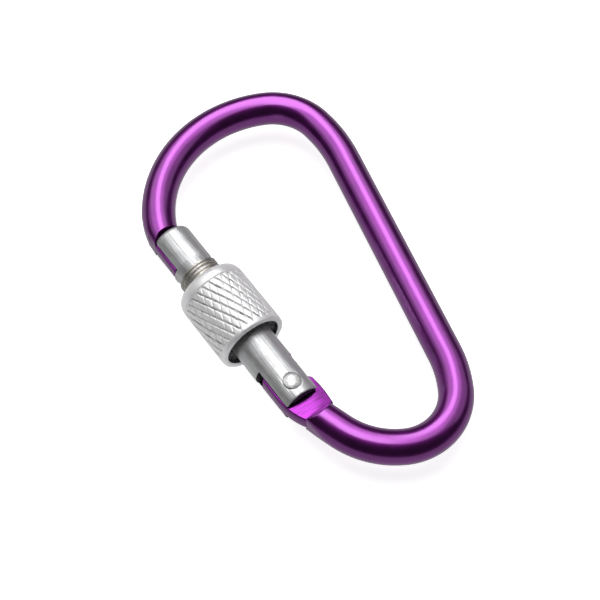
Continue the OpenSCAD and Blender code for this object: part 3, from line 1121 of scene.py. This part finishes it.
def softbox(name, place, target, width, height, radiance, across):
    """A rectangular light that faces a target with a given brightness, its width lying across."""
    light = bpy.data.lights.new(name, "AREA")
    light.shape = "RECTANGLE"
    light.size = width
    light.size_y = height
    light.energy = radiance * math.pi * width * height
    obj = bpy.data.objects.new(name, light)
    bpy.context.scene.collection.objects.link(obj)
    back = (place - target).normalized()
    side = (across - back * across.dot(back)).normalized()
    obj.location = place
    obj.rotation_mode = "QUATERNION"
    obj.rotation_quaternion = Matrix((side, back.cross(side), back)).transposed().to_quaternion()


class CARABINER_OT_studio(bpy.types.Operator):
    """Sets the camera, the lights, the surround and the pale floor"""

    bl_idname = "carabiner.studio"
    bl_label = "Studio"

    def execute(self, context):
        s = context.scene.carabiner_studio
        target = HINGE + LOOK_AT * MM
        right, up, back = self.axes(s)
        self.camera(context, s, target, right, up, back)
        self.surround(context)
        self.floor()
        self.lights(target, right, up, back)
        return {"FINISHED"}

    def axes(self, s):
        """The camera's right, up and back directions."""
        flat = math.cos(s.elevation)
        back = Vector((math.sin(s.azimuth) * flat, -math.cos(s.azimuth) * flat, math.sin(s.elevation)))
        level = Vector((0, 0, 1)).cross(back).normalized()
        upright = back.cross(level)
        right = level * math.cos(s.roll) + upright * math.sin(s.roll)
        return right, back.cross(right), back

    def lights(self, target, right, up, back):
        """A bright strip in a wide soft box overhead, in a dim fill that reaches both sides."""
        rise = math.radians(LIGHT_RISE)
        high = back * math.cos(rise) + up * math.sin(rise)
        tall = 2 * LIGHT_AWAY * math.tan(math.radians(LIGHT_HALF_HEIGHT))
        for name, shift, width, radiance in SOFTBOXES:
            toward = (high - shift * right).normalized()
            softbox(name, target + LIGHT_AWAY * toward, target, width, tall, radiance, right)

    def camera(self, context, s, target, right, up, back):
        data = bpy.data.cameras.new("camera")
        data.sensor_width = 36.0
        data.lens = s.lens
        data.clip_start = 0.01
        data.clip_end = 10.0
        obj = bpy.data.objects.new("camera", data)
        context.scene.collection.objects.link(obj)
        obj.rotation_mode = "QUATERNION"
        obj.rotation_quaternion = Matrix((right, up, back)).transposed().to_quaternion()
        obj.location = target + s.distance * back
        context.scene.camera = obj

    def surround(self, context):
        """Dark above the horizon and grey below it to the metal, but pale where it is seen directly."""
        world = bpy.data.worlds.new("surround")
        context.scene.world = world
        context.scene.view_settings.view_transform = "Standard"
        g = Graph(world, "Background", strength=1.0)
        direction = g.node("ShaderNodeTexCoord", out="Generated")
        height = g.node("ShaderNodeSeparateXYZ", {}, {"Vector": direction}, out="Z")
        below = g.levels(height, -0.06, 0.02, 1.0, 0.0)
        seen = g.blend(below, grey(0.035), grey(0.42))
        direct = g.node("ShaderNodeLightPath", out="Is Camera Ray")
        g.set(color=g.blend(direct, seen, grey(0.93)))

    def floor(self):
        """A pale sheet that the sleeve rests on; the metal does not reflect it."""
        bm = bmesh.new()
        bmesh.ops.create_grid(bm, x_segments=1, y_segments=1, size=FLOOR_HALF)
        bmesh.ops.translate(bm, vec=(0, 0, -SLEEVE_R), verts=bm.verts)
        bmesh.ops.transform(bm, matrix=TO_FRAME, space=Matrix.Identity(4), verts=bm.verts)
        obj = as_object(bm, "floor")
        obj.data.materials.append(pale_floor())
        obj.visible_glossy = False
        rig.stage(obj)


class CARABINER_PT_panel(bpy.types.Panel):
    """Shows each step's settings with the buttons that run it"""

    bl_idname = "CARABINER_PT_panel"
    bl_label = "Carabiner"
    bl_space_type = "VIEW_3D"
    bl_region_type = "UI"
    bl_category = "Carabiner"

    def draw(self, context):
        for settings, operators in STEPS:
            box = self.layout.box()
            group = getattr(context.scene, settings, None)
            for key in (group.bl_rna.properties.keys() if group else []):
                if key not in {"rna_type", "name"}:
                    box.prop(group, key)
            for operator in operators:
                box.operator(operator)


STEPS = [
    ("carabiner_rod", ["carabiner.bent_rod"]),
    ("carabiner_gate", ["carabiner.gate", "carabiner.hinge_parts"]),
    ("carabiner_sleeve", ["carabiner.sleeve"]),
    ("carabiner_studio", ["carabiner.studio"]),
]
SETTINGS = {
    "carabiner_rod": RodSettings,
    "carabiner_gate": GateSettings,
    "carabiner_sleeve": SleeveSettings,
    "carabiner_studio": StudioSettings,
}
CLASSES = [
    *SETTINGS.values(),
    CARABINER_OT_bent_rod,
    CARABINER_OT_gate,
    CARABINER_OT_hinge_parts,
    CARABINER_OT_sleeve,
    CARABINER_OT_studio,
    CARABINER_PT_panel,
]


def register():
    for cls in CLASSES:
        bpy.utils.register_class(cls)
    for name, cls in SETTINGS.items():
        setattr(bpy.types.Scene, name, bpy.props.PointerProperty(type=cls))


def unregister():
    for name in SETTINGS:
        delattr(bpy.types.Scene, name)
    for cls in reversed(CLASSES):
        bpy.utils.unregister_class(cls)


def main():
    register()
    bpy.ops.carabiner.bent_rod()
    bpy.ops.carabiner.gate()
    bpy.ops.carabiner.hinge_parts()
    bpy.ops.carabiner.sleeve()
    bpy.ops.carabiner.studio()
    made_box = [list(corner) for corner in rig.bounds()]
    with open("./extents.json", "w") as file:
        json.dump({"cad": CAD_BOX, "visual": made_box}, file)


if __name__ == "__main__":
    main()
